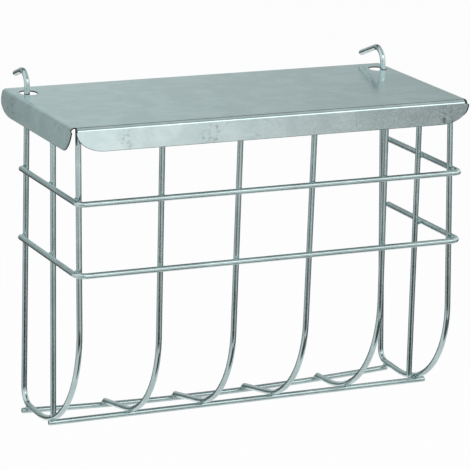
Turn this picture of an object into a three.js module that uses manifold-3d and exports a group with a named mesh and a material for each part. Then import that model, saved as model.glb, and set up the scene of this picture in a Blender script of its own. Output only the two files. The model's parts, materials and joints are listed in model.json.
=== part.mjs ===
// Hay rack for a small-pet cage: a welded wire basket that hangs by two hooks, under a sheet lid.
// Millimetres, +Z up, +X along the rack, +Y towards the cage wall that carries it.
// The origin is the middle of the hang line, where a cage wire lies under both hooks.

import * as THREE from 'three';
import { mergeVertices } from 'three/addons/utils/BufferGeometryUtils.js';
import Module from 'manifold-3d';

const wasm = await Module();
wasm.setup();

// Stock
const wireDiameter = 3.4;
const sheetThickness = 0.8;
const seatGap = 0.3; // left between pieces that touch or are welded

// Lid
const lidWidth = 252; // over the side folds
const lidReach = 97; // from the back legs to the front fold
const lidOverhang = 19.5; // from the back legs to the plain rear edge
const foldInnerRadius = 1.9;
const foldTurns = { front: 80, left: 80, right: 95 }; // degrees
const flangeHeights = { front: 13.8, left: 14, right: 13.8 }; // top of the lid to the rim
const cornerRelief = 0.5; // each fold stops short of the lid's front corners
// At the front corners a flange runs on past the end of its fold
const cornerEars = { frontLeft: 0.5, frontRight: 2, left: 1.8, right: 2.6 };
const frontSweeps = { left: { length: 17, height: 11 }, right: { length: 18.5, height: 11 } };
const sideFrontSweeps = { left: { length: 8, height: 10.5 }, right: { length: 17, height: 10.4 } };
const sideRearSweep = { length: 21, height: 9.5 };
const holeWidth = 10.4;
const holeLength = 13.4; // front to rear
const holeOffset = { inwards: 2.1, back: 3.2 }; // hole centre from the hook's stem

// Bands round the outside
const bandInset = 1.2; // from the front fold of the lid to the centre of the front runs
const bandSetback = 1; // from the centre of the back legs to the ends of the bands
const upperBand = { drop: 44.3, cornerRadius: 4 };
const lowerBand = { drop: 86.2, cornerRadius: 6 };

// End frames: one wire each, from the hook down the back, along the bottom and up the front
const frameInset = 8.8; // from the side fold of the lid to the wire centre
const frameSplays = { left: 1.2, right: 5.6 }; // how far out the frame stands at the front rail
const frontLegInsets = { left: 8.6, right: 3.4 }; // behind the ribs, at the lid
const frontLegRakes = { left: 3.3, right: 0 }; // degrees, forwards on the way down
const backBendRadii = { left: 9.6, right: 7 };
const frontBendShares = { left: 0.718, right: 0.671 }; // bend radius as a share of the ribs' reach
const hookBendRadius = 8;
const hookRise = 12.6; // wire centre at the top of a hook, above the lid
const hookFall = THREE.MathUtils.degToRad(20); // how far the arms droop towards the wall
const hookArms = { left: 10.5, right: 21 };

// Ribs of the front
const ribPlaces = [-69.4, -21.7, 25.2, 73.4]; // along the rack, at the middle of their height
const ribBendShares = [0.637, 0.62, 0.641, 0.774]; // from left to right, of the reach
const ribTilts = [0.13, 0.87, 1.05, -0.22]; // degrees, to the left on the way down
const ribEnd = { forwards: 1.5, up: 3 }; // from the rear rail's centre, on its front shoulder

// Rails under the basket
const frontRailDrop = 187.3; // rail centre below the top of the lid
const frontRailShare = 0.515; // its place behind the lid's front fold, as a share of the reach
const frontSetDown = 0.7; // the weld lets a bend into the front rail
const rearRailFall = 5.2; // its ends lie lower than the front rail
const rearRailRise = 0.4; // of each half, up to the right
const rearRailSetback = 7.5; // in front of the back legs
const rearRailSag = 3.2; // it bows down in the middle
const frontRailOverhangs = { left: 2.8, right: 5 };
const rearRailOverhangs = { left: 4, right: 0.5 };

// Side uprights: how far behind their feet they reach the lid
const uprightTopShifts = { left: 6.5, right: -2.4 };

// Fineness of round shapes
const wireSides = 16;
const bendSteps = 8;
const frontBendSteps = 14;
const sagSteps = 12;
const foldSteps = 5;
const sweepSteps = 10;
const holeSteps = 18;
const cutOverrun = 2;

// Worked out from the sizes above, with Y from the back legs and Z from the top of the lid
const wireRadius = wireDiameter / 2;
const contact = wireDiameter + seatGap; // between the centres of two wires that touch
const setDownContact = wireDiameter - frontSetDown;
const frameX = lidWidth / 2 - frameInset;
const wireTop = -sheetThickness - seatGap;
const bandReach = lidReach - bandInset;
const ribReach = bandReach - contact;
const frontRailSetback = frontRailShare * lidReach;
const rearRailDrop = frontRailDrop + rearRailFall;
const hookCentreZ = hookRise - hookBendRadius;
const foldOuterRadius = foldInnerRadius + sheetThickness;
const plateHalf = lidWidth / 2 - foldOuterRadius;
const plateFront = -(lidReach - foldOuterRadius);
const hangLine = new THREE.Vector3(0, hookBendRadius, hookRise - wireRadius);

const rack = new THREE.Group();

function addPiece(name, geometry, material) {
  geometry.translate(-hangLine.x, -hangLine.y, -hangLine.z);
  const piece = new THREE.Mesh(geometry, material);
  piece.name = name;
  rack.add(piece);
}

// Path of a bent wire, kept as stations: one at each end of a straight run, several along a bend
class WirePath extends THREE.Curve {
  constructor() {
    super();
    this.points = [];
    this.tangents = [];
  }

  addStation(point, tangent) {
    this.points.push(point);
    this.tangents.push(tangent);
  }

  getPoint(share, target = new THREE.Vector3()) {
    const last = this.points.length - 1;
    return target.copy(this.points[Math.round(share * last)]);
  }

  getPointAt(share, target) {
    return this.getPoint(share, target);
  }

  getTangentAt(share, target = new THREE.Vector3()) {
    const last = this.tangents.length - 1;
    return target.copy(this.tangents[Math.round(share * last)]);
  }
}

// Sideways place of an end frame's wire at height z
function frameAt(side, z) {
  const splay = side < 0 ? frameSplays.left : frameSplays.right;
  return side * (frameX - (splay * z) / frontRailDrop);
}

function corner(x, y, z, radius = 0, steps = bendSteps) {
  return { at: new THREE.Vector3(x, y, z), radius, steps };
}

function addBend(path, into, bend, out) {
  const turn = into.angleTo(out);
  const axis = into.clone().cross(out).normalize();
  const inwards = axis.clone().cross(into);
  const start = bend.at.clone().addScaledVector(into, -bend.radius * Math.tan(turn / 2));
  const centre = start.clone().addScaledVector(inwards, bend.radius);
  for (let step = 0; step <= bend.steps; step += 1) {
    const angle = (turn * step) / bend.steps;
    const spoke = inwards.clone().multiplyScalar(-bend.radius).applyAxisAngle(axis, angle);
    path.addStation(centre.clone().add(spoke), into.clone().applyAxisAngle(axis, angle));
  }
}

// Straight runs between the corners, each inner corner rounded to its own radius
function bentPath(corners) {
  const path = new WirePath();
  const headings = corners.slice(1).map((next, i) => next.at.clone().sub(corners[i].at).normalize());
  path.addStation(corners[0].at, headings[0]);
  for (let i = 1; i < headings.length; i += 1) {
    addBend(path, headings[i - 1], corners[i], headings[i]);
  }
  path.addStation(corners.at(-1).at, headings.at(-1));
  return path;
}

function wireSolid(path, radius = wireRadius) {
  const section = new THREE.Shape();
  section.absarc(0, 0, radius, 0, 2 * Math.PI);
  const rim = section.getSpacedPoints(wireSides).slice(0, wireSides);
  return new THREE.ExtrudeGeometry(new THREE.Shape(rim), {
    steps: path.points.length - 1,
    extrudePath: path,
  });
}

// Solids for the joins and cuts of the lid and of a coped wire end
function toSolid(geometry) {
  const bare = geometry.clone();
  bare.deleteAttribute('normal');
  bare.deleteAttribute('uv');
  const merged = mergeVertices(bare);
  return new wasm.Manifold(new wasm.Mesh({
    numProp: 3,
    vertProperties: new Float32Array(merged.attributes.position.array),
    triVerts: new Uint32Array(merged.index.array),
  }));
}

function toGeometry(solid) {
  const mesh = solid.getMesh();
  const geometry = new THREE.BufferGeometry();
  const points = new Float32Array(mesh.vertProperties);
  geometry.setAttribute('position', new THREE.BufferAttribute(points, 3));
  geometry.setIndex(new THREE.BufferAttribute(new Uint32Array(mesh.triVerts), 1));
  geometry.computeVertexNormals();
  return geometry;
}

// Galvanised wire, a cool grey
function wireSteel() {
  return new THREE.MeshStandardMaterial({ color: 0xa3b0ac, roughness: 0.36, metalness: 0.9 });
}

// The lid's sheet is paler and smoother than the wire
function sheetSteel() {
  return new THREE.MeshStandardMaterial({ color: 0xb4bfbc, roughness: 0.28, metalness: 0.9 });
}

// Circle that a wire's front bend follows. The wire leaves the lid at topY, raked forwards on
// the way down, and its bend is let into the top of the front rail.
function frontBend(topY, radius, rake = 0) {
  const startY = topY + radius * Math.cos(rake) + frontRailSetback;
  const startZ = wireTop - radius * Math.sin(rake) + frontRailDrop;
  const along = startY * Math.sin(rake) + startZ * Math.cos(rake);
  const reach = radius + setDownContact;
  const run = along - Math.sqrt(along ** 2 - startY ** 2 - startZ ** 2 + reach ** 2);
  return {
    y: startY - run * Math.sin(rake) - frontRailSetback,
    z: startZ - run * Math.cos(rake) - frontRailDrop,
    radius,
  };
}

// How steeply a wire falls to the rear from its front bend, when it runs straight to the next
// circle it meets. The radius of a circle under the wire counts as negative.
function fallBetween(front, rear) {
  const run = rear.y - front.y;
  const drop = front.z - rear.z;
  return Math.atan2(drop, run) - Math.asin((front.radius - rear.radius) / Math.hypot(run, drop));
}

function bottomHeight(y, front, fall) {
  return front.z - front.radius / Math.cos(fall) - Math.tan(fall) * (y - front.y);
}

// Where a raked wire from the lid would meet the line of its bottom run
function frontCornerY(topY, rake, front, fall) {
  const drop = wireTop - bottomHeight(topY, front, fall);
  return topY - (drop * Math.tan(rake)) / (1 + Math.tan(rake) * Math.tan(fall));
}

// Height of the rear rail's centre, bowed between the end frames
function rearRailZ(x) {
  const share = x / frameX;
  return rearRailRise * share - rearRailDrop - rearRailSag * (1 - share * share);
}

// End frame: its back bend bears on the rear rail. The corners are where straight runs would meet.
function endFramePath(end) {
  const side = end === 'left' ? -1 : 1;
  const backRadius = backBendRadii[end];
  const radius = frontBendShares[end] * ribReach;
  const rake = THREE.MathUtils.degToRad(frontLegRakes[end]);
  const topY = frontLegInsets[end] - ribReach;
  const front = frontBend(topY, radius, rake);
  const reach = backRadius + contact;
  const railZ = rearRailZ(frameAt(side, -rearRailDrop));
  const rear = {
    y: -backRadius,
    z: railZ + Math.sqrt(reach ** 2 - (backRadius - rearRailSetback) ** 2),
    radius: backRadius,
  };
  const fall = fallBetween(front, rear);
  const cornerY = frontCornerY(topY, rake, front, fall);
  const hookTangent = hookBendRadius * Math.tan((Math.PI / 2 + hookFall) / 2);
  const hookCornerZ = hookCentreZ + hookTangent;
  const armRun = hookTangent + hookArms[end];
  const at = (y, z, ...bend) => corner(frameAt(side, z), y, z, ...bend);
  return bentPath([
    at(armRun * Math.cos(hookFall), hookCornerZ - armRun * Math.sin(hookFall)),
    at(0, hookCornerZ, hookBendRadius),
    at(0, bottomHeight(0, front, fall), backRadius),
    at(cornerY, bottomHeight(cornerY, front, fall), radius, frontBendSteps),
    at(topY, wireTop),
  ]);
}

// Rib: down the front inside the bands, round, and back over both rails. It is tilted sideways
// about the middle of its height, where x is its place.
function ribPath(x, radius, tilt) {
  const tiltedX = (z) => x + Math.tan(tilt) * (z + frontRailDrop / 2);
  const front = frontBend(-ribReach, radius);
  const endY = -rearRailSetback - ribEnd.forwards;
  const endZ = rearRailZ(tiltedX(-rearRailDrop)) + ribEnd.up;
  const fall = fallBetween(front, { y: endY, z: endZ, radius: 0 });
  const at = (y, z, ...bend) => corner(tiltedX(z), y, z, ...bend);
  return bentPath([
    at(-ribReach, wireTop),
    at(-ribReach, bottomHeight(-ribReach, front, fall), radius, frontBendSteps),
    at(endY, endZ),
  ]);
}

// Band: a three-sided hoop on the outside of the upright wires
function bandPath(band) {
  const left = frameAt(-1, -band.drop) - contact;
  const right = frameAt(1, -band.drop) + contact;
  return bentPath([
    corner(left, -bandSetback, -band.drop),
    corner(left, -bandReach, -band.drop, band.cornerRadius),
    corner(right, -bandReach, -band.drop, band.cornerRadius),
    corner(right, -bandSetback, -band.drop),
  ]);
}

function frontRailPath() {
  const left = frameAt(-1, -frontRailDrop) - frontRailOverhangs.left;
  const right = frameAt(1, -frontRailDrop) + frontRailOverhangs.right;
  return bentPath([
    corner(left, -frontRailSetback, -frontRailDrop),
    corner(right, -frontRailSetback, -frontRailDrop),
  ]);
}

function rearRailPath() {
  const path = new WirePath();
  const left = frameAt(-1, -rearRailDrop) - rearRailOverhangs.left;
  const right = frameAt(1, -rearRailDrop) + rearRailOverhangs.right;
  for (let step = 0; step <= sagSteps; step += 1) {
    const x = left + ((right - left) * step) / sagSteps;
    const rise = (2 * rearRailSag * x) / frameX ** 2 + rearRailRise / frameX;
    const tangent = new THREE.Vector3(1, 0, rise).normalize();
    path.addStation(new THREE.Vector3(x, -rearRailSetback, rearRailZ(x)), tangent);
  }
  return path;
}

// Wire cut away where others are welded into it
function notched(path, others) {
  let wire = toSolid(wireSolid(path));
  for (const other of others) {
    wire = wire.subtract(toSolid(wireSolid(other, wireRadius + seatGap)));
  }
  return toGeometry(wire);
}

// Left upright: it stands on the bottom of the left end frame, coped to that wire
function leftUpright(framePath) {
  const footZ = setDownContact - frontRailDrop;
  const upright = bentPath([
    corner(frameAt(-1, wireTop), uprightTopShifts.left - frontRailSetback, wireTop),
    corner(frameAt(-1, footZ), -frontRailSetback, footZ),
  ]);
  return notched(upright, [framePath]);
}

// Right upright: its foot stands inside the end frame and behind the front rail, against both,
// and it leans out to meet the upper band
function rightUpright() {
  const footY = contact - frontRailSetback;
  const footZ = wireRadius - frontRailDrop;
  const footX = frameAt(1, footZ) - contact;
  const bandX = frameAt(1, -upperBand.drop);
  const topX = footX + ((bandX - footX) * (wireTop - footZ)) / (-upperBand.drop - footZ);
  return wireSolid(bentPath([
    corner(topX, footY + uprightTopShifts.right, wireTop),
    corner(footX, footY, footZ),
  ]));
}

// Flat plate of the lid, with the two holes that the hooks pass through
function lidPlate() {
  const outline = new THREE.Shape();
  outline.moveTo(-plateHalf, plateFront);
  outline.lineTo(plateHalf, plateFront);
  outline.lineTo(plateHalf, lidOverhang);
  outline.lineTo(-plateHalf, lidOverhang);
  outline.closePath();
  for (const side of [-1, 1]) {
    const hole = new THREE.Path();
    const holeX = side * (frameX - holeOffset.inwards);
    hole.absellipse(holeX, holeOffset.back, holeWidth / 2, holeLength / 2, 0, 2 * Math.PI);
    outline.holes.push(hole);
  }
  const plate = new THREE.ExtrudeGeometry(outline, {
    depth: sheetThickness,
    bevelEnabled: false,
    curveSegments: holeSteps,
  });
  plate.translate(0, 0, -sheetThickness);
  return toSolid(plate);
}

// Section of a fold with its flange, lapping the flat plate by one sheet thickness.
// Shape X runs outwards from the start of the fold.
function foldSection(turn, height) {
  const fromTop = Math.PI / 2;
  const fallOfRim = height - foldOuterRadius + foldInnerRadius * Math.cos(turn);
  const slope = fallOfRim / Math.sin(turn);
  const onFold = (radius, along) => [
    radius * Math.sin(turn) + along * Math.cos(turn),
    -foldOuterRadius + radius * Math.cos(turn) - along * Math.sin(turn),
  ];
  const section = new THREE.Shape();
  section.moveTo(-sheetThickness, 0);
  section.absarc(0, -foldOuterRadius, foldOuterRadius, fromTop, fromTop - turn, true);
  section.lineTo(...onFold(foldOuterRadius, slope));
  section.lineTo(...onFold(foldInnerRadius, slope));
  section.absarc(0, -foldOuterRadius, foldInnerRadius, fromTop - turn, fromTop, false);
  section.lineTo(-sheetThickness, -sheetThickness);
  section.closePath();
  return section;
}

// What stays of a flange, seen square on. Its lower corners are swept away, and beside an ear
// the fold itself is cut short.
function sweptOutline(length, height, turn, near, far) {
  const foldEnd = foldOuterRadius * (Math.cos(turn) - 1);
  const outline = new THREE.Shape();
  const quarter = Math.PI / 2;
  outline.moveTo(near.ear, cutOverrun);
  if (near.ear) {
    outline.lineTo(near.ear, foldEnd);
    outline.lineTo(0, foldEnd);
  }
  outline.absellipse(near.sweep.length, near.sweep.height - height,
    near.sweep.length, near.sweep.height, 2 * quarter, 3 * quarter, false);
  outline.absellipse(length - far.sweep.length, far.sweep.height - height,
    far.sweep.length, far.sweep.height, 3 * quarter, 4 * quarter, false);
  if (far.ear) {
    outline.lineTo(length, foldEnd);
    outline.lineTo(length - far.ear, foldEnd);
  }
  outline.lineTo(length - far.ear, cutOverrun);
  outline.closePath();
  return outline;
}

// One fold and flange along +X from the origin, the flange towards -Y, then put in its place.
// The length is that of the fold, and the ears of both ends run on past it.
function flange(edge, length, near, far, place) {
  const turn = THREE.MathUtils.degToRad(foldTurns[edge]);
  const height = flangeHeights[edge];
  const whole = near.ear + length + far.ear;
  const strip = new THREE.ExtrudeGeometry(foldSection(turn, height), {
    depth: whole,
    bevelEnabled: false,
    curveSegments: foldSteps,
  });
  strip.applyMatrix4(new THREE.Matrix4().makeBasis(
    new THREE.Vector3(0, -1, 0),
    new THREE.Vector3(0, 0, 1),
    new THREE.Vector3(-1, 0, 0),
  ));
  strip.translate(whole, 0, 0);
  const keep = new THREE.ExtrudeGeometry(sweptOutline(whole, height, turn, near, far), {
    depth: height + 2 * cutOverrun,
    bevelEnabled: false,
    curveSegments: sweepSteps,
  });
  keep.rotateX(Math.PI / 2);
  keep.translate(0, cutOverrun, 0);
  for (const part of [strip, keep]) {
    part.translate(-near.ear, 0, 0);
    part.applyMatrix4(place);
  }
  return toSolid(strip).intersect(toSolid(keep));
}

function placed(x, y, quarterTurns) {
  const turn = new THREE.Matrix4().makeRotationZ((quarterTurns * Math.PI) / 2);
  return turn.setPosition(x, y, 0);
}

function lid() {
  const frontLength = 2 * (plateHalf - cornerRelief);
  const sideLength = lidOverhang - plateFront - cornerRelief;
  const rear = { ear: 0, sweep: sideRearSweep };
  const front = flange('front', frontLength,
    { ear: cornerEars.frontLeft, sweep: frontSweeps.left },
    { ear: cornerEars.frontRight, sweep: frontSweeps.right },
    placed(cornerRelief - plateHalf, plateFront, 0));
  const right = flange('right', sideLength,
    { ear: cornerEars.right, sweep: sideFrontSweeps.right }, rear,
    placed(plateHalf, plateFront + cornerRelief, 1));
  const left = flange('left', sideLength,
    rear, { ear: cornerEars.left, sweep: sideFrontSweeps.left },
    placed(-plateHalf, lidOverhang, -1));
  return toGeometry(lidPlate().add(front).add(right).add(left));
}

const leftFramePath = endFramePath('left');
const rightFramePath = endFramePath('right');
const ribPaths = ribPlaces.map((x, i) => {
  const tilt = THREE.MathUtils.degToRad(ribTilts[i]);
  return ribPath(x, ribBendShares[i] * ribReach, tilt);
});

addPiece('lid', lid(), sheetSteel());
addPiece('end_frame_left', wireSolid(leftFramePath), wireSteel());
addPiece('end_frame_right', wireSolid(rightFramePath), wireSteel());
addPiece('side_upright_left', leftUpright(leftFramePath), wireSteel());
addPiece('side_upright_right', rightUpright(), wireSteel());
ribPaths.forEach((path, i) => addPiece(`front_rib_${i + 1}`, wireSolid(path), wireSteel()));
addPiece('upper_band', wireSolid(bandPath(upperBand)), wireSteel());
addPiece('lower_band', wireSolid(bandPath(lowerBand)), wireSteel());
const intoFrontRail = [leftFramePath, ...ribPaths, rightFramePath];
addPiece('front_bottom_rail', notched(frontRailPath(), intoFrontRail), wireSteel());
addPiece('rear_bottom_rail', wireSolid(rearRailPath()), wireSteel());

export default rack;
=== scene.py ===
# %% [markdown]
# # A hay rack for a small pet's cage
# The rack is a basket of welded zinc-plated wire under a folded sheet lid. Two hooks carry it
# on a wire of the cage wall, and the animal pulls the hay out between the ribs.
# The imported model is the fixed frame of this scene: every piece below is drawn in metres at the
# place that the frame gives it. First the frame is loaded.

import json
import math

import bpy
from mathutils import Matrix, Vector

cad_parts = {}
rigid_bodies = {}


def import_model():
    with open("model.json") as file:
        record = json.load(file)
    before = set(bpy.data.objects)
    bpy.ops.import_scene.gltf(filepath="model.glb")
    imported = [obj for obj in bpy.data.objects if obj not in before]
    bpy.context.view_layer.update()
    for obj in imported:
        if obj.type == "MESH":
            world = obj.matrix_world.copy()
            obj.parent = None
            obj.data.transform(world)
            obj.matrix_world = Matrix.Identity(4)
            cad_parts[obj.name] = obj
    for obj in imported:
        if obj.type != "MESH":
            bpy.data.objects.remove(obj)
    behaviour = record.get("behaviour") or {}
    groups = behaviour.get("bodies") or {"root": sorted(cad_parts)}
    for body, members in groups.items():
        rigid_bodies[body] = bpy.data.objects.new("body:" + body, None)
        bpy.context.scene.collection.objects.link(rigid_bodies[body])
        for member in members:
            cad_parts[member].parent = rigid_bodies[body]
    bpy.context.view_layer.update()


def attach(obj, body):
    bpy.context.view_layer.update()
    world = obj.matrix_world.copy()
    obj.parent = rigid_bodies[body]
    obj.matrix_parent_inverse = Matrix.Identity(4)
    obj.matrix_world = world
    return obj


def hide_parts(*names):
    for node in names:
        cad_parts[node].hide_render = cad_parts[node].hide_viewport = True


for left_over in list(bpy.data.objects):
    bpy.data.objects.remove(left_over)
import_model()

# %% [markdown]
# ## Camera
# A camera is found from a photograph by matching straight edges and the places where wires
# cross. A long lens from 1.75 metres away gives the photograph's gentle perspective, with the
# left end turned towards us and the lid seen from a little above. The place, the three angles
# and the lens below were fitted together, from the top of the lid as zero. `LID_TOP` moves them
# to the rack's own origin, which is the line that it hangs from.

# %% Camera
LID_TOP = Vector((0.0, -0.008, -0.0109))  # middle of the back legs' line, at the top of the lid


def camera_turn(azimuth, elevation, roll):
    """The camera's axes as a matrix, from its angles round the object in degrees."""
    a, e, r = (math.radians(v) for v in (azimuth, elevation, roll))
    back = Vector((math.sin(a) * math.cos(e), -math.cos(a) * math.cos(e), math.sin(e)))
    right = Vector((0, 0, 1)).cross(back).normalized()
    up = back.cross(right)
    turned_right = right * math.cos(r) + up * math.sin(r)
    turned_up = up * math.cos(r) - right * math.sin(r)
    return Matrix((turned_right, turned_up, back)).transposed().to_4x4()


SENSOR = 36.0  # millimetres
PICTURE_WIDTH, FOCAL_LENGTH = 470, 2901.03  # pixels
AZIMUTH, ELEVATION, ROLL = -24.40, 14.70, 1.27  # degrees

camera_data = bpy.data.cameras.new("camera")
camera_data.sensor_width = SENSOR
camera_data.lens = SENSOR * FOCAL_LENGTH / PICTURE_WIDTH
camera_data.clip_end = 20.0
camera = bpy.data.objects.new("camera", camera_data)
camera_place = Vector((-0.69400, -1.57200, 0.35519)) + LID_TOP
camera.matrix_world = (
    Matrix.Translation(camera_place) @ camera_turn(AZIMUTH, ELEVATION, ROLL)
)
bpy.context.scene.collection.objects.link(camera)
bpy.context.scene.camera = camera
print("lens", round(camera_data.lens, 1), "mm from", tuple(round(v, 3) for v in camera_place))

# %% [markdown]
# ## Sizes
# The wire is one gauge all through. Heights are taken from the top of the lid and depths from
# the back legs, as a maker would measure them, and `place` turns both into the frame's metres.

# %% Sizes
WIRE = 0.0017  # radius
CONTACT = 0.0037  # between the centres of two wires that are welded
SET_DOWN = 0.0027  # the same where a bend is pressed into the front rail
TOP = -0.0011  # where the upright wires end, just under the sheet
FRAME_X = 0.1172  # from the middle of the rack to the middle of an end frame's wire
SPLAY = {-1: 0.0012, 1: 0.0056}  # how far out the left and the right frame stand at the foot
RAIL_DROP, RAIL_BACK = 0.1873, 0.049955  # front rail, down and forwards
RAIL_OVERHANG = {-1: 0.0028, 1: 0.005}  # past the end frames
REAR_DROP, REAR_BACK = 0.1925, 0.0075  # rear rail
REAR_OVERHANG = {-1: 0.004, 1: 0.0005}
REAR_SAG, REAR_RISE = 0.0032, 0.0004  # its bow, and how far its right end is above the mean
RIB_REACH = 0.0921  # from the back legs forwards
BAND_REACH = 0.0958  # from the back legs forwards to the front run of a band
BAND_SETBACK = 0.001  # from the back legs forwards to its two ends
LEFT_FOOT, LEFT_LEAN = -0.1833, 0.0065  # foot of the left upright, and its lean to the rear
RIGHT_LEAN = 0.0024  # of the right upright, forwards


def place(x, y, z):
    """A point measured from the back legs and the top of the lid, in the frame's metres."""
    return LID_TOP + Vector((x, y, z))


def frame_x(side, z):
    """Sideways place of an end frame at height z."""
    return side * (FRAME_X - SPLAY[side] * z / RAIL_DROP)


def rear_rail_z(x):
    """The rear rail bows down between the end frames."""
    share = x / FRAME_X
    return REAR_RISE * share - REAR_DROP - REAR_SAG * (1 - share**2)


print("end frames stand", round(2 * FRAME_X, 3), "m apart")

# %% [markdown]
# ## Bending wire
# Real racks are bent from straight wire, and the same moves work in edit mode. A filled circle
# is the cut end of the wire. Extruding it gives a straight run, and spinning it round the middle
# of a bend gives a true arc, so each wire keeps its round section all the way. A curve with a
# round bevel would look much the same, but spins keep the bend radius exact. Each wire is
# given as corners, where the straight runs would meet, with the radius of the bend there.

# %% Helpers to bend a wire
SIDES = 28  # round one wire
BURR = 0.0005  # taken off a cut end
RING_SPACE = 0.0008  # from the end of a straight run to the ring that holds its shading
DEGREES_PER_STEP = 5  # of a bend


def nothing_selected():
    if bpy.context.mode != "OBJECT":
        bpy.ops.object.mode_set(mode="OBJECT")
    bpy.ops.object.select_all(action="DESELECT")


def start_wire(name, at, heading):
    """The cut end of a wire: a filled circle that faces along the heading."""
    nothing_selected()
    turn = heading.to_track_quat("Z", "X").to_euler()
    bpy.ops.mesh.primitive_circle_add(
        vertices=SIDES, radius=WIRE, fill_type="NGON", location=at, rotation=turn
    )
    wire = bpy.context.active_object
    wire.name = wire.data.name = name
    bpy.ops.object.transform_apply(location=True, rotation=True, scale=True)
    bpy.ops.object.mode_set(mode="EDIT")
    bpy.ops.mesh.select_all(action="SELECT")
    return wire


def run_straight(way):
    bpy.ops.mesh.extrude_region_move(TRANSFORM_OT_translate={"value": tuple(way)})


def run_wire(way):
    """A straight run of wire, with a ring close to each end that keeps its shading straight."""
    step = way.normalized() * RING_SPACE
    if way.length > 4 * step.length:
        for part in (step, way - 2 * step, step):
            run_straight(part)
    else:
        run_straight(way)


def spin_bend(centre, axis, angle, steps):
    """A true arc. With no window the spin turns the other way, so the angle is negated."""
    bpy.ops.mesh.spin(steps=steps, angle=-angle, center=tuple(centre), axis=tuple(axis))


def trim_ends(wire, soften):
    """Closes the mesh, turns its faces out and takes the burr off both cut ends."""
    bpy.ops.mesh.select_all(action="SELECT")
    bpy.ops.mesh.remove_doubles(threshold=1e-6)
    bpy.ops.mesh.normals_make_consistent(inside=False)
    bpy.ops.mesh.select_all(action="DESELECT")
    bpy.ops.mesh.select_face_by_sides(number=SIDES, type="EQUAL")
    bpy.ops.mesh.region_to_loop()
    bpy.ops.mesh.bevel(offset=soften, segments=3, profile=0.5)
    bpy.ops.object.mode_set(mode="OBJECT")
    bpy.ops.object.shade_smooth_by_angle(angle=math.radians(35))


def bend_wire(name, corners, soften=BURR):
    """A wire through the corners, each given as (point, bend radius)."""
    points = [point for point, _ in corners]
    headings = [(b - a).normalized() for a, b in zip(points, points[1:])]
    wire = start_wire(name, points[0], headings[0])
    here = points[0]
    for (point, radius), into, out in zip(corners[1:-1], headings, headings[1:]):
        turn = into.angle(out)
        axis = into.cross(out).normalized()
        start = point - into * radius * math.tan(turn / 2)
        run_wire(start - here)
        steps = max(6, math.ceil(math.degrees(turn) / DEGREES_PER_STEP))
        spin_bend(start + axis.cross(into) * radius, axis, turn, steps)
        here = point + out * radius * math.tan(turn / 2)
    run_wire(points[-1] - here)
    trim_ends(wire, soften)
    print(name, len(wire.data.polygons), "faces")
    return wire

# %% [markdown]
# ## End frames
# One wire makes the hook, the back leg, the bottom and the curved front leg of each end. The
# front bend is pressed into the front rail and the back bend bears on the rear rail, so the
# slope of the bottom follows from two circles that the same straight run touches. The left
# front leg leans forward on its way down, and the right hook has a longer arm. The inset is how
# far the front leg stands behind the ribs, and the share is its bend's radius to their reach.

# %% End frames
def front_bend(top_y, radius, rake=0.0):
    """Middle of the front bend of a wire that leaves the lid at top_y, as (y, z, radius)."""
    start_y = top_y + radius * math.cos(rake) + RAIL_BACK
    start_z = TOP - radius * math.sin(rake) + RAIL_DROP
    along = start_y * math.sin(rake) + start_z * math.cos(rake)
    run = along - math.sqrt(along**2 - start_y**2 - start_z**2 + (radius + SET_DOWN) ** 2)
    middle_y = start_y - run * math.sin(rake) - RAIL_BACK
    return middle_y, start_z - run * math.cos(rake) - RAIL_DROP, radius


def fall_between(front, rear):
    """Slope of the straight run that touches two circles, each given as (y, z, radius)."""
    run, drop = rear[0] - front[0], front[1] - rear[1]
    return math.atan2(drop, run) - math.asin((front[2] - rear[2]) / math.hypot(run, drop))


def bottom_z(y, front, fall):
    return front[1] - front[2] / math.cos(fall) - math.tan(fall) * (y - front[0])


def front_corner_y(top_y, rake, front, fall):
    """Where the leg's line would meet the line of the bottom."""
    drop = TOP - bottom_z(top_y, front, fall)
    return top_y - drop * math.tan(rake) / (1 + math.tan(rake) * math.tan(fall))


FRAMES = {
    "left": {"side": -1, "inset": 0.0086, "rake": math.radians(3.3), "share": 0.718,
             "back_radius": 0.0096, "arm": 0.0105},
    "right": {"side": 1, "inset": 0.0034, "rake": 0.0, "share": 0.671,
              "back_radius": 0.007, "arm": 0.021},
}
for end in FRAMES.values():
    end["top_y"] = end["inset"] - RIB_REACH
    end["front"] = front_bend(end["top_y"], end["share"] * RIB_REACH, end["rake"])


def end_frame(name, end):
    side, radius = end["side"], end["back_radius"]
    hook_radius, hook_top, droop = 0.008, 0.0126, math.radians(20)
    rise = math.sqrt((radius + CONTACT) ** 2 - (radius - REAR_BACK) ** 2)
    rear = (-radius, rear_rail_z(frame_x(side, -REAR_DROP)) + rise, radius)
    fall = fall_between(end["front"], rear)
    corner_y = front_corner_y(end["top_y"], end["rake"], end["front"], fall)
    tangent = hook_radius * math.tan((math.pi / 2 + droop) / 2)
    hook_z = hook_top - hook_radius + tangent
    reach = tangent + end["arm"]
    route = [
        (reach * math.cos(droop), hook_z - reach * math.sin(droop), 0),
        (0, hook_z, hook_radius),
        (0, bottom_z(0, end["front"], fall), radius),
        (corner_y, bottom_z(corner_y, end["front"], fall), end["front"][2]),
        (end["top_y"], TOP, 0),
    ]
    corners = [(place(frame_x(side, z), y, z), bend) for y, z, bend in route]
    return bend_wire(name, corners)


left_frame = end_frame("left_frame_wire", FRAMES["left"])
right_frame = end_frame("right_frame_wire", FRAMES["right"])

# %% [markdown]
# ## Ribs, bands and rails
# The ribs are J-shaped and lie inside the bands and over the rails. Their places, bends and
# sideways tilts differ a little from rib to rib, as they do on the real rack, and each ends on
# the front shoulder of the rear rail. The rear rail bows down, which one long shallow spin
# gives: its radius follows from the bow and half its length.

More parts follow.
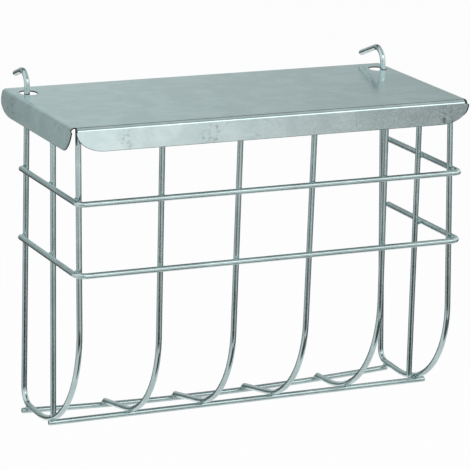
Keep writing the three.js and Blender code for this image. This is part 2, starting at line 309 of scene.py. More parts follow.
# %% Ribs
RIBS = [  # place at the middle of the height, bend as a share of the reach, tilt in degrees
    (-0.0694, 0.637, 0.13), (-0.0217, 0.62, 0.87), (0.0252, 0.641, 1.05), (0.0734, 0.774, -0.22),
]
RIB_END = (0.0015, 0.003)  # forwards and up from the centre of the rear rail


def rib_x(rib, z):
    return rib[0] + math.tan(math.radians(rib[2])) * (z + RAIL_DROP / 2)


def bend_rib(name, rib):
    front = front_bend(-RIB_REACH, rib[1] * RIB_REACH)
    end_y = -REAR_BACK - RIB_END[0]
    end_z = rear_rail_z(rib_x(rib, -REAR_DROP)) + RIB_END[1]
    low = bottom_z(-RIB_REACH, front, fall_between(front, (end_y, end_z, 0)))
    route = [(-RIB_REACH, TOP, 0), (-RIB_REACH, low, front[2]), (end_y, end_z, 0)]
    return bend_wire(name, [(place(rib_x(rib, z), y, z), bend) for y, z, bend in route])


ribs = [bend_rib(f"rib_wire_{i + 1}", rib) for i, rib in enumerate(RIBS)]

# %% Bands
UPPER, LOWER = -0.0443, -0.0862  # heights of the two bands


def band(name, z, radius):
    left, right = frame_x(-1, z) - CONTACT, frame_x(1, z) + CONTACT
    return bend_wire(name, [
        (place(left, -BAND_SETBACK, z), 0),
        (place(left, -BAND_REACH, z), radius),
        (place(right, -BAND_REACH, z), radius),
        (place(right, -BAND_SETBACK, z), 0),
    ], soften=0.0008)


bands = [band("upper_band_wire", UPPER, 0.004), band("lower_band_wire", LOWER, 0.006)]

# %% [markdown]
# The left upright stands on the bottom of the left frame, above the front rail. The foot of
# the right one is welded inside the right frame and behind the front rail, and it leans
# outwards so far that it meets the upper band.

# %% Rails and side uprights
def straight_wire(name, start, end):
    return bend_wire(name, [(place(*start), 0), (place(*end), 0)])


def bowed_rail(name, left, right):
    """The rear rail, as one shallow arc between its two ends."""
    start, end = (place(x, -REAR_BACK, rear_rail_z(x)) for x in (left, right))
    radius = FRAME_X**2 / (2 * REAR_SAG)  # of a shallow arc, from half its length and its bow
    chord = end - start
    half = math.asin(chord.length / 2 / radius)
    down = Vector((0, -1, 0)).cross(chord).normalized()
    if down.z > 0:
        down = -down
    centre = (start + end) / 2 - down * radius * math.cos(half)
    axis = (start - centre).cross(end - centre).normalized()
    heading = axis.cross(start - centre).normalized()
    rail = start_wire(name, start, heading)
    spin_bend(centre, axis, 2 * half, 40)
    trim_ends(rail, BURR)
    return rail


front_rail = straight_wire(
    "front_rail_wire",
    (frame_x(-1, -RAIL_DROP) - RAIL_OVERHANG[-1], -RAIL_BACK, -RAIL_DROP),
    (frame_x(1, -RAIL_DROP) + RAIL_OVERHANG[1], -RAIL_BACK, -RAIL_DROP),
)
rear_rail = bowed_rail(
    "rear_rail_wire",
    frame_x(-1, -REAR_DROP) - REAR_OVERHANG[-1],
    frame_x(1, -REAR_DROP) + REAR_OVERHANG[1],
)
left_upright = straight_wire(
    "left_upright_wire",
    (frame_x(-1, TOP), LEFT_LEAN - RAIL_BACK, TOP),
    (frame_x(-1, LEFT_FOOT), -RAIL_BACK, LEFT_FOOT),
)
right_foot_z = WIRE - RAIL_DROP
RIGHT_FOOT = Vector((frame_x(1, right_foot_z) - CONTACT, CONTACT - RAIL_BACK, right_foot_z))
share = (TOP - right_foot_z) / (UPPER - right_foot_z)
RIGHT_TOP = Vector((
    RIGHT_FOOT.x + (frame_x(1, UPPER) - RIGHT_FOOT.x) * share, RIGHT_FOOT.y - RIGHT_LEAN, TOP
))
right_upright = straight_wire("right_upright_wire", RIGHT_TOP, RIGHT_FOOT)
print("rails and uprights drawn")

# %% [markdown]
# ## Lid
# The lid is one sheet of thin steel, folded down along the front and both sides, with a plain
# rear edge. The right fold turns a little further than the others. It is made as it would be at
# a bench: the flat plate first, then each fold as a short spin and its flange as an extrusion.
# The folds stop half a millimetre short of the front corners, so bisects mark those lines on
# the plate first. Below them the flanges run on, and nearly close the corners.

# %% Flat plate
LID_HALF, LID_FRONT, LID_REAR = 0.126, -0.097, 0.0195
SHEET = 0.0008
FOLD = 0.0027  # outer radius of a fold
RELIEF = 0.0005  # between the end of a fold and the corner of the plate
PLATE_HALF, PLATE_FRONT = LID_HALF - FOLD, LID_FRONT + FOLD
TURNS = {"front": math.radians(80), "left": math.radians(80), "right": math.radians(95)}
DEPTHS = {"front": 0.0138, "left": 0.014, "right": 0.0138}  # top of the lid to the rim
EARS = {"front": (0.0005, 0.002), "left": 0.0018, "right": 0.0026}  # length past the folds
NEAR = 1e-5  # what counts as the same place
ON_FLANGE = 0.001  # what lies further out than this from the side of the plate is a flange


def middle_of(part, corners):
    """Middle of a vertex, an edge or a face."""
    if hasattr(part, "co"):
        return part.co.copy()
    return sum((corners[i].co for i in part.vertices), Vector()) / len(part.vertices)


def select_where(kind, test):
    """Selects the vertices, edges or faces whose middle passes the test. Returns the middles."""
    bpy.ops.object.mode_set(mode="OBJECT")
    data = bpy.context.active_object.data
    for parts in (data.vertices, data.edges, data.polygons):
        parts.foreach_set("select", [False] * len(parts))
    found = []
    for part in {"VERT": data.vertices, "EDGE": data.edges, "FACE": data.polygons}[kind]:
        middle = middle_of(part, data.vertices)
        part.select = test(middle)
        if part.select:
            found.append(middle)
    bpy.ops.object.mode_set(mode="EDIT")
    bpy.ops.mesh.select_mode(type=kind)
    return found


def cut_plane(point, normal):
    bpy.ops.mesh.select_all(action="SELECT")
    bpy.ops.mesh.bisect(plane_co=tuple(point), plane_no=tuple(normal))


nothing_selected()
bpy.ops.mesh.primitive_plane_add(size=1, location=place(0, (PLATE_FRONT + LID_REAR) / 2, 0))
lid = bpy.context.active_object
lid.name = lid.data.name = "folded_lid"
lid.scale = (2 * PLATE_HALF, LID_REAR - PLATE_FRONT, 1)
bpy.ops.object.transform_apply(location=True, rotation=True, scale=True)
bpy.ops.object.mode_set(mode="EDIT")
for side in (-1, 1):
    cut_plane(place(side * (PLATE_HALF - RELIEF), 0, 0), (1, 0, 0))
cut_plane(place(0, PLATE_FRONT + RELIEF, 0), (0, 1, 0))
lid.update_from_editmode()
print("plate with", len(lid.data.polygons), "faces before the folds")

# %% Folds and flanges
def rim_fall(edge):
    """How far the outer face of a flange comes down from the end of its fold."""
    turn = TURNS[edge]
    return DEPTHS[edge] - FOLD + FOLD * math.cos(turn) - max(0, SHEET * math.cos(turn))


def fold_end(edge):
    return LID_TOP.z - FOLD + FOLD * math.cos(TURNS[edge])


def fold_edge(edge, test, outwards, along):
    """Folds the edges that pass the test down, and draws the flange out of the fold."""
    start = select_where("EDGE", test)[0]
    spin_bend(start - Vector((0, 0, FOLD)), along, TURNS[edge], 10)
    fall = rim_fall(edge)
    run_straight(outwards * fall / math.tan(TURNS[edge]) - Vector((0, 0, fall)))


def flange_ear(edge, at_end, way):
    """Runs a flange on past the end of its fold, and takes the old end line out."""
    low, high = fold_end(edge) - rim_fall(edge), fold_end(edge)
    middle = (low + high) / 2

    def old(point):
        return abs(point.z - middle) < NEAR and abs(at_end(point)) < NEAR

    select_where("EDGE", old)
    run_straight(way)
    select_where("EDGE", old)
    bpy.ops.mesh.dissolve_edges(use_verts=True)


left_edge, right_edge = place(-PLATE_HALF, 0, 0).x, place(PLATE_HALF, 0, 0).x
front_edge, rear_edge = place(0, PLATE_FRONT, 0).y, place(0, LID_REAR, 0).y
fold_edge(
    "front",
    lambda m: abs(m.y - front_edge) < NEAR and abs(m.x) < PLATE_HALF - RELIEF,
    Vector((0, -1, 0)), Vector((1, 0, 0)),
)
for name, side, edge in (("left", -1, left_edge), ("right", 1, right_edge)):
    fold_edge(
        name,
        lambda m, edge=edge: abs(m.x - edge) < NEAR and m.y > front_edge + RELIEF + NEAR,
        Vector((side, 0, 0)), Vector((0, side, 0)),
    )


def front_end(side):
    """Tells how far a point is from the end of the front flange, or 1 off that flange."""
    return lambda v: PLATE_HALF - RELIEF - side * v.x if v.y < front_edge - NEAR else 1


def side_end(side):
    """The same for the front end of a side flange."""
    beyond = PLATE_HALF + (NEAR if side < 0 else ON_FLANGE)
    return lambda v: v.y - front_edge - RELIEF if side * v.x > beyond else 1


for side, name in ((-1, "left"), (1, "right")):
    flange_ear("front", front_end(side), (side * EARS["front"][side > 0], 0, 0))
    flange_ear(name, side_end(side), (0, -EARS[name], 0))
print("folded lid spans", [round(v, 4) for v in lid.dimensions])

# %% [markdown]
# The lower corners of each flange are swept away in a long curve, so that no sharp corner
# reaches the animal. A vertex bevel rounds the corner with a true quarter circle, and a stretch
# along the flange, measured from the flange's end, makes the quarter circle the long ellipse.

# %% Swept corners
def sweep_corner(edge, at_end, axis, height, length):
    """Rounds the flange's lower corner where `at_end` tells how far a point is from the end."""
    rim = fold_end(edge) - rim_fall(edge)
    slant = height / math.sin(TURNS[edge])
    select_where("VERT", lambda v: abs(v.z - rim) < NEAR and abs(at_end(v)) < NEAR)
    bpy.ops.mesh.bevel(offset=slant, offset_type="ABSOLUTE", segments=16, affect="VERTICES")
    corner = select_where(
        "VERT", lambda v: v.z < rim + height + NEAR and -NEAR < at_end(v) < slant + NEAR
    )
    stretch = [1, 1, 1]
    stretch["xyz".index(axis)] = length / slant
    end_line = min(corner, key=at_end)
    bpy.ops.transform.resize(value=stretch, center_override=tuple(end_line))


def past(end, ear):
    """The same distance, measured from the end of an ear."""
    return lambda v: end(v) + ear if end(v) != 1 else 1


# Length along the flange and height above its rim
FRONT_SWEEPS = {"left": (0.017, 0.011), "right": (0.0185, 0.011)}
SIDE_SWEEPS = {"left": (0.008, 0.0105), "right": (0.017, 0.0104)}
REAR_SWEEP = (0.021, 0.0095)
for side, name in ((-1, "left"), (1, "right")):
    length, height = FRONT_SWEEPS[name]
    end = past(front_end(side), EARS["front"][side > 0])
    sweep_corner("front", end, "x", height, length)
    length, height = SIDE_SWEEPS[name]
    sweep_corner(name, past(side_end(side), EARS[name]), "y", height, length)
    length, height = REAR_SWEEP
    sweep_corner(
        name,
        lambda v, side=side: rear_edge - v.y if side * v.x > PLATE_HALF + ON_FLANGE else 1,
        "y", height, length,
    )
print("flanges swept")

# %% [markdown]
# Solidify gives the sheet its thickness inwards, so the outside keeps its sizes. The two oval
# holes that the hooks pass through are cut with cylinders, and a fine bevel stands for the
# rolled edge that shears and punches leave. Zinc sheet is plated before it is cut, so its cut
# edges are bare and dark. They, the hole walls and the bevel get a near-black finish, which is
# partly that bare steel and partly painted shade and a painted dark reflection along the rims.
# The inside of the lid gets a darker copy of the zinc, which is painted shade from the lid over
# it. Weighted normals keep the large flat faces flat in shading beside the bevels.

# %% Sheet thickness, holes and edges
def apply_modifier(piece, kind, **settings):
    modifier = piece.modifiers.new(kind.lower(), kind)
    for key, value in settings.items():
        setattr(modifier, key, value)
    bpy.context.view_layer.objects.active = piece
    bpy.ops.object.modifier_apply(modifier=modifier.name)


bpy.ops.mesh.select_all(action="SELECT")
bpy.ops.mesh.remove_doubles(threshold=1e-6)
bpy.ops.mesh.normals_make_consistent(inside=False)
bpy.ops.object.mode_set(mode="OBJECT")
plate_face = max(lid.data.polygons, key=lambda face: face.area)
if plate_face.normal.z < 0:
    bpy.ops.object.mode_set(mode="EDIT")
    bpy.ops.mesh.flip_normals()
    bpy.ops.object.mode_set(mode="OBJECT")
for finish in ("sheet", "cut_edge_and_painted_shade", "inside"):  # each gets its nodes below
    lid.data.materials.append(bpy.data.materials.new("zinc_" + finish))
# The inner faces take the inside finish, a darker copy of the zinc that is painted shade under the
# lid, and the rim takes the near-black one.
apply_modifier(
    lid, "SOLIDIFY", thickness=SHEET, offset=-1, use_even_offset=True,
    material_offset_rim=1, material_offset=2,
)
HOLE_INSET, HOLE_BACK = 0.0021, 0.0032  # inwards and to the rear of the hook's stem
HOLE_HALVES = (0.0052, 0.0067)  # half its width and half its length
ROUND_HOLE = 0.008  # every wall of a hole is nearer to its middle than this
CUT_EDGE_AND_PAINTED_SHADE = 1  # the finish by its place in the list above
for side in (-1, 1):
    nothing_selected()
    hole_x = side * (FRAME_X - HOLE_INSET)
    bpy.ops.mesh.primitive_cylinder_add(
        vertices=64, radius=1, depth=0.006, location=place(hole_x, HOLE_BACK, 0)
    )
    punch = bpy.context.active_object
    punch.scale = (*HOLE_HALVES, 1)
    bpy.ops.object.transform_apply(location=True, rotation=True, scale=True)
    nothing_selected()
    apply_modifier(lid, "BOOLEAN", operation="DIFFERENCE", solver="EXACT", object=punch)
    bpy.data.objects.remove(punch)
    hole = place(hole_x, HOLE_BACK, -SHEET / 2)
    # The hole walls take the near-black finish, which paints the shade inside the holes.
    for face in lid.data.polygons:
        if abs(face.normal.z) < 0.5 and (face.center - hole).length < ROUND_HOLE:
            face.material_index = CUT_EDGE_AND_PAINTED_SHADE
# The bevel takes it too: a painted dark line round every edge, for the shade and dark reflection at
# a rolled edge, over the darker bare steel.
apply_modifier(
    lid, "BEVEL", width=0.00026, segments=2, limit_method="ANGLE",
    angle_limit=math.radians(40), material=CUT_EDGE_AND_PAINTED_SHADE,
)
nothing_selected()
lid.select_set(True)
bpy.ops.object.shade_smooth_by_angle(angle=math.radians(30))
apply_modifier(lid, "WEIGHTED_NORMAL", keep_sharp=True, weight=100)
by_finish = [face.material_index for face in lid.data.polygons]
print("lid", [by_finish.count(i) for i in range(3)], "faces outside, on cut edges and inside")

# %% [markdown]
# ## Welds
# Where two wires cross they are pressed together and welded, and a little metal rises into the
# corner between them. One bead is made from a block: its upper face is stretched along one
# wire and its lower face along the other, and subdivision rounds it into a saddle. Copies of it
# go to every crossing, each turned to its own two wires.

# %% Weld bead
nothing_selected()
bpy.ops.mesh.primitive_cube_add(size=1)
bead = bpy.context.active_object
bead.name = bead.data.name = "weld_bead"
BEAD_WIDTH, BEAD_HEIGHT = 0.0042, 0.0024  # before it is rounded
bead.scale = (BEAD_WIDTH, BEAD_WIDTH, BEAD_HEIGHT)
bpy.ops.object.transform_apply(location=False, rotation=False, scale=True)
for up, stretch in ((1, (1.28, 0.82, 1)), (-1, (0.82, 1.28, 1))):
    select_where("FACE", lambda m, up=up: up * m.z > 0.001)
    bpy.ops.transform.resize(value=stretch, center_override=(0, 0, up * BEAD_HEIGHT / 2))
bpy.ops.object.mode_set(mode="OBJECT")
apply_modifier(bead, "SUBSURF", levels=2, render_levels=2)
bpy.ops.object.select_all(action="DESELECT")
bead.select_set(True)
bpy.ops.object.shade_smooth()
print("bead", [round(1000 * v, 2) for v in bead.dimensions], "mm")

# %% [markdown]
# Every rib and side upright meets both bands once and every end frame meets them twice. The
# ribs and the end frames also meet both rails. The left upright has one weld at its foot and
# the right one has two.

# %% Where the wires cross
crossings = []  # each is (point, heading of one wire, heading of the other, height of the bead)
ACROSS, INWARDS, UPWARDS = Vector((1, 0, 0)), Vector((0, 1, 0)), Vector((0, 0, 1))
half = CONTACT / 2


def weld(point, one, other, height=1.0):
    crossings.append((Vector(point), one, other, height))


def weld_to_band(wire, heading, z):
    """A wire with its centre at (x, y) inside the side run of a band.

    Where the wire leans away from the band, the bead is as much taller as the gap is wider.
    """
    side = 1 if wire[0] > 0 else -1
    outside = frame_x(side, z) + side * CONTACT
    point = place((wire[0] + outside) / 2, wire[1], z)
    weld(point, heading, INWARDS, abs(outside - wire[0]) / CONTACT)


right_way = RIGHT_TOP - RIGHT_FOOT
for z in (UPPER, LOWER):
    for rib in RIBS:
        up = Vector((math.tan(math.radians(rib[2])), 0, 1)).normalized()
        weld(place(rib_x(rib, z), -RIB_REACH - half, z), up, ACROSS)
    for end in FRAMES.values():
        x = frame_x(end["side"], z)
        leg_y = end["top_y"] - (TOP - z) * math.tan(end["rake"])
        weld_to_band((x, leg_y), UPWARDS, z)
        weld_to_band((x, -BAND_SETBACK), UPWARDS, z)
    climb = (z - LEFT_FOOT) / (TOP - LEFT_FOOT)
    weld_to_band((frame_x(-1, z), LEFT_LEAN * climb - RAIL_BACK), UPWARDS, z)
    spot = RIGHT_FOOT + right_way * (z - right_foot_z) / (TOP - right_foot_z)
    weld_to_band((spot.x, spot.y), right_way.normalized(), z)


def weld_to_front_rail(x, middle):
    """A bent wire pressed into the front rail, from the middle of its bend."""
    lift = Vector((0, middle[0] + RAIL_BACK, middle[1] + RAIL_DROP)).normalized()
    weld(place(x, -RAIL_BACK, -RAIL_DROP) + lift * SET_DOWN / 2, lift.cross(ACROSS), ACROSS)


for rib in RIBS:
    weld_to_front_rail(rib_x(rib, -RAIL_DROP), front_bend(-RIB_REACH, rib[1] * RIB_REACH))
    x = rib_x(rib, -REAR_DROP)
    lift = Vector((0, -RIB_END[0], RIB_END[1])).normalized()
    point = place(x, -REAR_BACK, rear_rail_z(x)) + lift * half
    weld(point, lift.cross(ACROSS), ACROSS)
for end in FRAMES.values():
    weld_to_front_rail(frame_x(end["side"], -RAIL_DROP), end["front"])
    x, back = frame_x(end["side"], -REAR_DROP), end["back_radius"]
    lift = Vector((0, REAR_BACK - back, math.sqrt((back + CONTACT) ** 2 - (back - REAR_BACK) ** 2)))
    lift.normalize()
    weld(place(x, -REAR_BACK, rear_rail_z(x)) + lift * half, lift.cross(ACROSS), ACROSS)
weld(place(frame_x(-1, LEFT_FOOT), -RAIL_BACK, LEFT_FOOT), INWARDS, ACROSS)
weld(place(RIGHT_FOOT.x + half, RIGHT_FOOT.y, right_foot_z + 0.0008), UPWARDS, INWARDS)
weld(place(RIGHT_FOOT.x, RIGHT_FOOT.y - half, right_foot_z - 0.0005), UPWARDS, ACROSS)
print(len(crossings), "crossings")

# %% Beads at every crossing
nothing_selected()
copies = []
for point, above, below, height in crossings:
    copy = bead.copy()
    copy.data = bead.data.copy()
    bpy.context.scene.collection.objects.link(copy)
    up = above.cross(below).normalized()
    turn = Matrix((above, up.cross(above), up)).transposed().to_4x4()
    copy.matrix_world = Matrix.Translation(point) @ turn @ Matrix.Diagonal((1, 1, height, 1))
    copy.select_set(True)
    copies.append(copy)
bpy.context.view_layer.objects.active = copies[0]
bpy.ops.object.join()
welds = bpy.context.active_object
welds.name = welds.data.name = "weld_beads"
bpy.ops.object.transform_apply(location=True, rotation=True, scale=True)
bpy.ops.object.mode_set(mode="EDIT")
bpy.ops.mesh.select_all(action="SELECT")
bpy.ops.mesh.normals_make_consistent(inside=False)
bpy.ops.object.mode_set(mode="OBJECT")
bpy.data.objects.remove(bead)
print("weld beads", len(welds.data.polygons), "faces")

# %% [markdown]
# ## Which body carries what
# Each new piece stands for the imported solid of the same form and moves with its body.

# %% Ride and replace
stands_for = {
    "end_frame_left": left_frame, "end_frame_right": right_frame,
    "side_upright_left": left_upright, "side_upright_right": right_upright,
    "upper_band": bands[0], "lower_band": bands[1],
    "front_bottom_rail": front_rail, "rear_bottom_rail": rear_rail,
    **{f"front_rib_{i + 1}": piece for i, piece in enumerate(ribs)},
}
for node, piece in stands_for.items():
    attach(piece, "cage")
    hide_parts(node)
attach(welds, "cage")
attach(lid, "lid")
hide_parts("lid")
print(len(stands_for) + 1, "solids replaced")

# %% [markdown]
# ## Zinc finish
# Bright zinc plating is a metal with a cool grey tint. It is never quite even: soft cloudy
# patches differ in tone, and fine grains in tone and in gloss. Handling leaves its marks on top
# of that. Long faint streaks and smudges are rubbed into the tone, and the flanges of the lid,
# where fingers lift it, have small dark specks. All of it comes from one node group, made once
# and used by all five finishes with their own values. It puts out a colour, a roughness and a
# height, and the shader stays in each material, where its gloss can be read by the export.

# %% Node helpers
def link_nodes(tree, *pairs):
    for start, end in pairs:
        tree.links.new(start, end)


def feed(tree, socket, value):
    """Gives a socket its value: a number, a colour or another node's output."""
    if isinstance(value, bpy.types.NodeSocket):
        link_nodes(tree, (value, socket))
    else:
        socket.default_value = value


def maths(tree, operation, *values, clamp=False):
    node = tree.nodes.new("ShaderNodeMath")
    node.operation, node.use_clamp = operation, clamp
    for socket, value in zip(node.inputs, values):
        feed(tree, socket, value)
    return node.outputs["Value"]


def mixed(tree, factor, first, second):
    """A colour between two others."""
    node = tree.nodes.new("ShaderNodeMix")
    node.data_type = "RGBA"
    for name, value in (("Factor", factor), ("A", first), ("B", second)):
        feed(tree, node.inputs[name], value)
    return node.outputs["Result"]


def cloud(tree, place_from, scale, detail, distortion=0.0):
    noise = tree.nodes.new("ShaderNodeTexNoise")
    for name, value in (
        ("Vector", place_from), ("Scale", scale), ("Detail", detail), ("Distortion", distortion)
    ):
        feed(tree, noise.inputs[name], value)
    return noise.outputs["Fac"]


def ranged(tree, value, from_low, from_high, to_low, to_high):
    """The value moved from one range to another, and kept inside it."""
    ramp = tree.nodes.new("ShaderNodeMapRange")
    for name, number in (
        ("Value", value), ("From Min", from_low), ("From Max", from_high),
        ("To Min", to_low), ("To Max", to_high),
    ):
        feed(tree, ramp.inputs[name], number)
    return ramp.outputs["Result"]


# %% Zinc group
zinc = bpy.data.node_groups.new("zinc_plating", "ShaderNodeTree")
for name in ("Dark Tone", "Light Tone"):
    zinc.interface.new_socket(name, in_out="INPUT", socket_type="NodeSocketColor")
for name in ("Least Roughness", "Most Roughness", "Rubbed", "Soiled"):
    zinc.interface.new_socket(name, in_out="INPUT", socket_type="NodeSocketFloat")
for name, kind in (
    ("Color", "NodeSocketColor"), ("Roughness", "NodeSocketFloat"), ("Height", "NodeSocketFloat")
):
    zinc.interface.new_socket(name, in_out="OUTPUT", socket_type=kind)
given = zinc.nodes.new("NodeGroupInput").outputs
made = zinc.nodes.new("NodeGroupOutput").inputs
where = zinc.nodes.new("ShaderNodeTexCoord").outputs["Object"]
along = zinc.nodes.new("ShaderNodeMapping")
along.inputs["Scale"].default_value = (0.3, 1, 1)
link_nodes(zinc, (where, along.inputs["Vector"]))
height = zinc.nodes.new("ShaderNodeSeparateXYZ")
link_nodes(zinc, (where, height.inputs["Vector"]))

patches = ranged(zinc, cloud(zinc, where, 55, 4, 0.4), 0.35, 0.65, 0, 1)
streaks = ranged(zinc, cloud(zinc, along.outputs["Vector"], 220, 5, 0.6), 0.40, 0.68, 0, 1)
smudges = ranged(zinc, cloud(zinc, where, 38, 5, 1.2), 0.56, 0.70, 0, 1)
worn = maths(zinc, "MULTIPLY_ADD", streaks, 0.5, smudges)
rubbed = maths(zinc, "MULTIPLY", worn, given["Rubbed"])
dulled = maths(zinc, "SUBTRACT", patches, rubbed, clamp=True)
grains = cloud(zinc, where, 900, 3)
grained = ranged(zinc, grains, 0.3, 0.7, -0.5, 0.5)
tone = maths(zinc, "MULTIPLY_ADD", grained, 0.35, dulled, clamp=True)
plating = mixed(zinc, tone, given["Dark Tone"], given["Light Tone"])

DIRT = (0.09, 0.12, 0.12, 1)
specks = ranged(zinc, cloud(zinc, where, 420, 4, 0.3), 0.50, 0.70, 0, 0.8)
spots = ranged(zinc, cloud(zinc, where, 30, 2, 0.6), 0.56, 0.66, 0, 1)
CLEAN, DIRTY = 0.0014, 0.0036  # how far below the top of the lid dirt starts and is full
flanges = ranged(zinc, height.outputs["Z"], LID_TOP.z - DIRTY, LID_TOP.z - CLEAN, 1, 0)
dirt = specks
for share in (spots, flanges, given["Soiled"]):
    dirt = maths(zinc, "MULTIPLY", dirt, share)
feed(zinc, made["Color"], mixed(zinc, dirt, plating, DIRT))
gloss = ranged(zinc, grains, 0.3, 0.7, given["Least Roughness"], given["Most Roughness"])
feed(zinc, made["Roughness"], gloss)
feed(zinc, made["Height"], cloud(zinc, where, 2600, 2))
print("zinc group with", len(zinc.nodes), "nodes")

# %% Steel materials
FINISHES = {  # dark and light tone, least and most roughness, bump, rubbed, soiled
    "wire": ((0.45, 0.56, 0.56), (0.55, 0.68, 0.68), 0.10, 0.22, 0.12, 0.4, 0.0),
    "weld": ((0.38, 0.47, 0.47), (0.50, 0.62, 0.62), 0.30, 0.45, 0.3, 0.0, 0.0),
    "sheet": ((0.53, 0.66, 0.66), (0.62, 0.76, 0.76), 0.10, 0.20, 0.04, 0.8, 0.8),
    # the cut edge: bare steel made near black, as painted shade and a painted dark reflection along
    # the rims
    "cut_edge_and_painted_shade": ((0.03, 0.04, 0.04), (0.12, 0.15, 0.15), 0.35, 0.5, 0.3, 0.0, 0.0),
    # the inside: the same zinc made darker, as painted shade under the lid
    "inside": ((0.18, 0.23, 0.23), (0.34, 0.42, 0.42), 0.30, 0.45, 0.1, 0.0, 0.0),
}


def zinc_material(name, dark, light, least, most, bump, rubbed, soiled):
    """A steel with its own values of the group. The lid's three exist, and get their nodes here."""
    material = bpy.data.materials.get("zinc_" + name) or bpy.data.materials.new("zinc_" + name)
    material.use_nodes = True
    tree = material.node_tree
    shader = tree.nodes["Principled BSDF"]
    shader.inputs["Metallic"].default_value = 1.0
    finish = tree.nodes.new("ShaderNodeGroup")
    finish.node_tree = zinc
    for socket, value in (
        ("Dark Tone", (*dark, 1)), ("Light Tone", (*light, 1)), ("Least Roughness", least),
        ("Most Roughness", most), ("Rubbed", rubbed), ("Soiled", soiled),
    ):
        finish.inputs[socket].default_value = value
    relief = tree.nodes.new("ShaderNodeBump")
    relief.inputs["Strength"].default_value = bump
    relief.inputs["Distance"].default_value = 0.0001
    link_nodes(
        tree,
        (finish.outputs["Color"], shader.inputs["Base Color"]),
        (finish.outputs["Roughness"], shader.inputs["Roughness"]),
        (finish.outputs["Height"], relief.inputs["Height"]),
        (relief.outputs["Normal"], shader.inputs["Normal"]),
    )
    return material


finishes = {name: zinc_material(name, *values) for name, values in FINISHES.items()}
for piece in stands_for.values():
    piece.data.materials.clear()
    piece.data.materials.append(finishes["wire"])
welds.data.materials.clear()
welds.data.materials.append(finishes["weld"])
print(len(finishes), "zinc finishes")

# %% [markdown]
# ## Studio
# The rack hangs clear of a pale floor in a white room. The floor and the room look plain white
# to the camera and in reflections, and give a weaker light to everything else.

# %% Floor and room
def seen_plainly(tree, *kinds):
    """1 for the kinds of rays that should meet plain white, and 0 for those that give light."""
    rays = tree.nodes.new("ShaderNodeLightPath").outputs
    seen = rays[kinds[0]]
    for kind in kinds[1:]:
        seen = maths(tree, "MAXIMUM", seen, rays[kind])
    return seen


def blend_shaders(tree, share, first, second, output):
    both = tree.nodes.new("ShaderNodeMixShader")
    surface = tree.nodes.new(output)
    link_nodes(
        tree,
        (share, both.inputs["Fac"]),
        (first, both.inputs[1]),
        (second, both.inputs[2]),
        (both.outputs["Shader"], surface.inputs["Surface"]),
    )


nothing_selected()
bpy.ops.mesh.primitive_plane_add(size=14, location=(0, 0, -0.75))
floor = bpy.context.active_object
floor.name = "floor"
bpy.ops.object.transform_apply(location=True, rotation=True, scale=True)
pale = bpy.data.materials.new("pale_floor")
pale.use_nodes = True
tree = pale.node_tree
tree.nodes.clear()
matte = tree.nodes.new("ShaderNodeBsdfDiffuse")
matte.inputs["Color"].default_value = (0.86, 0.86, 0.86, 1)
glow = tree.nodes.new("ShaderNodeEmission")
glow.inputs["Strength"].default_value = 1.0
shown_white = seen_plainly(tree, "Is Camera Ray", "Is Glossy Ray")
with_shadow = maths(tree, "MULTIPLY", shown_white, 0.95)  # the rest is matte and takes a shadow
blend_shaders(
    tree, with_shadow, matte.outputs["BSDF"], glow.outputs["Emission"], "ShaderNodeOutputMaterial"
)
floor.data.materials.append(pale)

world = bpy.data.worlds.new("white_room")
bpy.context.scene.world = world
world.use_nodes = True
tree = world.node_tree
tree.nodes.clear()
seen, lit = (tree.nodes.new("ShaderNodeBackground") for _ in range(2))
seen.inputs["Color"].default_value = (1, 1, 1, 1)
seen.inputs["Strength"].default_value = 1.0
lit.inputs["Color"].default_value = (0.95, 0.98, 1.0, 1)
lit.inputs["Strength"].default_value = 0.7
blend_shaders(
    tree, seen_plainly(tree, "Is Camera Ray", "Is Glossy Ray", "Is Transmission Ray"),
    lit.outputs["Background"], seen.outputs["Background"], "ShaderNodeOutputWorld",
)
bpy.context.scene.view_settings.view_transform = "Standard"
print("white room round a pale floor")

# %% [markdown]
# Bright metal shows what stands round it, so most of its look is the things round it. None of
# them is seen by the camera or lights anything: only reflections see them. Single cards stand
# where the flat faces look. The plate mirrors the two high cards behind the rack, which darken
# towards both ends, the left flange mirrors the low one, and the front flange mirrors a bright
# card that fades to the right. The small dark card on the camera's side shows only at bends,
# corners and beads, which mirror every side. Long strips over the rack and two cards under it
# draw the lines along the level wires. An upright ring of grey in two storeys does the same for
# the upright wires. Such a wire reflects the whole ring, squeezed across its width, so every
# dark or light part of the ring is one line along it.

# %% Helpers to make cards and lamps
def aimed(at, target):
    """Where something stands, turned to face its target."""
    way = Vector(target) - Vector(at)
    return Matrix.Translation(Vector(at)) @ way.to_track_quat("-Z", "Y").to_matrix().to_4x4()


def paint(sheet, colour, graded):
    """A card's own even light, which only reflections see. It may be graded along one axis."""
    sheet.visible_camera = sheet.visible_shadow = sheet.visible_diffuse = False
    material = bpy.data.materials.new(sheet.name + "_paint")
    material.use_nodes = True
    tree = material.node_tree
    tree.nodes.clear()
    glow = tree.nodes.new("ShaderNodeEmission")
    glow.inputs["Color"].default_value = (*colour, 1)
    out = tree.nodes.new("ShaderNodeOutputMaterial")
    link_nodes(tree, (glow.outputs["Emission"], out.inputs["Surface"]))
    if graded:
        start, end, low, high = graded
        split = tree.nodes.new("ShaderNodeSeparateXYZ")
        where = tree.nodes.new("ShaderNodeTexCoord").outputs["Object"]
        link_nodes(tree, (where, split.inputs["Vector"]))
        strength = ranged(tree, split.outputs["X"], start, end, low, high)
        feed(tree, glow.inputs["Strength"], strength)
    sheet.data.materials.append(material)


def card(name, at, target, width, height, grey, graded=None, tint=1.0):
    """A flat card. The tint warms or cools it, and the grading is (from x, to x, light, light)."""
    nothing_selected()
    bpy.ops.mesh.primitive_plane_add(size=1)
    sheet = bpy.context.active_object
    sheet.name = name
    sheet.data.transform(aimed(at, target) @ Matrix.Diagonal((width, height, 1, 1)))
    paint(sheet, (grey * tint, grey, grey), graded)


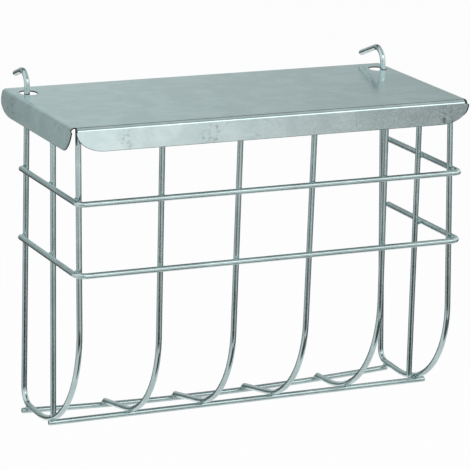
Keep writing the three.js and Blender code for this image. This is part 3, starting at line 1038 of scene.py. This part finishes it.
def wall_card(name, middle, width, height, graded, tint):
    """An upright card before or behind the rack, square to it and graded from left to right."""
    card(name, middle, (middle[0], 0, middle[2]), width, height, 1.0, graded, tint)


def strip(name, start, end, left, right, grey):
    """A long card over the rack, from one angle to another, both up from the rear horizon."""
    distance, level = 1.6, -0.05
    middle, span = math.radians((start + end) / 2), math.radians(end - start)
    x = (left + right) / 2
    at = (x, distance * math.cos(middle), distance * math.sin(middle) + level)
    card(name, at, (x, 0, level), right - left, distance * span, grey)


def tent(name, low, high, stops):
    """An upright ring, with grey levels at angles to the right of straight in front."""
    nothing_selected()
    bpy.ops.mesh.primitive_cylinder_add(
        vertices=96, radius=1.15, depth=high - low, end_fill_type="NOTHING",
        location=(0, -0.05, (low + high) / 2),
    )
    bpy.ops.object.transform_apply(location=True, rotation=True, scale=True)
    ring = bpy.context.active_object
    ring.name = name
    paint(ring, (1, 1, 1), None)
    tree = ring.data.materials[0].node_tree
    where = tree.nodes.new("ShaderNodeTexCoord").outputs["Object"]
    round_about = tree.nodes.new("ShaderNodeTexGradient")
    round_about.gradient_type = "RADIAL"
    ramp = tree.nodes.new("ShaderNodeValToRGB")
    marks = ramp.color_ramp.elements
    for angle, grey in stops:
        marks.new((angle / 360 + 0.25) % 1).color = (grey, grey, grey, 1)
    marks.remove(marks[0])  # the two that every new ramp has
    marks.remove(marks[len(marks) - 1])
    link_nodes(
        tree,
        (where, round_about.inputs["Vector"]),
        (round_about.outputs["Color"], ramp.inputs["Fac"]),
        (ramp.outputs["Color"], tree.nodes["Emission"].inputs["Color"]),
    )
    print(name, "with", len(marks), "grey levels")


def lamp(name, at, size, power):
    """A large soft lamp that reflections don't see."""
    data = bpy.data.lights.new(name, "AREA")
    data.shape = "RECTANGLE"
    data.size, data.size_y = size
    data.energy = power
    light = bpy.data.objects.new(name, data)
    light.matrix_world = aimed(at, (0, -0.04, -0.1))
    light.visible_glossy = False
    bpy.context.scene.collection.objects.link(light)


# %% Cards and lamps
wall_card("back_card", (-0.1, 2.0, 0.55), 4.6, 1.16, (0.7, 1.3, 0.64, 0.48), 0.92)
wall_card("back_left_card", (-0.95, 1.5, -0.14), 1.2, 0.6, (-0.86, -0.77, 0.52, 0.37), 0.93)
wall_card("front_card", (0.5, -1.3, 0.13), 1.2, 0.22, (0.18, 0.77, 1.42, 0.33), 1.05)
wall_card("back_far_left_card", (-1.25, 1.9, 0.5), 2.3, 1.1, (-0.9, -0.1, 0.42, 0.60), 0.92)
card("camera_side_card", (-0.47, -1.08, 0.0), (0, -0.05, 0.0), 0.8, 0.2, 0.12)
strip("rear_dark_strip", 26, 58, 0.3, 1.3, 0.16)
strip("rear_left_dark_strip", 34, 60, -1.5, 0.3, 0.2)
strip("overhead_strip", 58, 112, -0.4, 1.4, 0.62)
strip("front_dark_strip", 112, 139, -0.4, 1.4, 0.45)
strip("front_light_strip", 139, 156, -0.4, 1.4, 2.2)
card("under_card", (0.2, -0.4, -0.72), (0.2, -0.4, 0), 2.0, 1.6, 0.85)
card("under_front_card", (0.14, -0.245, -0.30), (0.14, -0.245, 0), 0.52, 0.15, 0.08)
# The levels at -90.1 and -90 are equal, because there the two ends of the ramp meet
tent("upper_tent", -0.39, -0.22, (
    (-150, 0.12), (-138, 0.62), (-90.1, 0.62), (-90, 0.62), (-68, 0.62), (-60, 0.20),
    (-24, 0.20), (-18, 0.9), (14, 0.9), (22, 0.44), (68, 0.38), (78, 0.06), (180, 0.10),
))
tent("lower_tent", -0.70, -0.39, (
    (-150, 0.12), (-138, 0.66), (-90.1, 0.66), (-90, 0.66), (-68, 0.66), (-60, 0.05),
    (10, 0.05), (16, 0.85), (30, 0.85), (36, 0.34), (68, 0.30), (78, 0.06), (180, 0.10),
))
lamp("key", (-0.9, -1.3, 1.4), (1.0, 1.0), 14)
lamp("top", (0.2, 0.2, 1.8), (1.6, 1.2), 10)
print("cards and lamps placed")
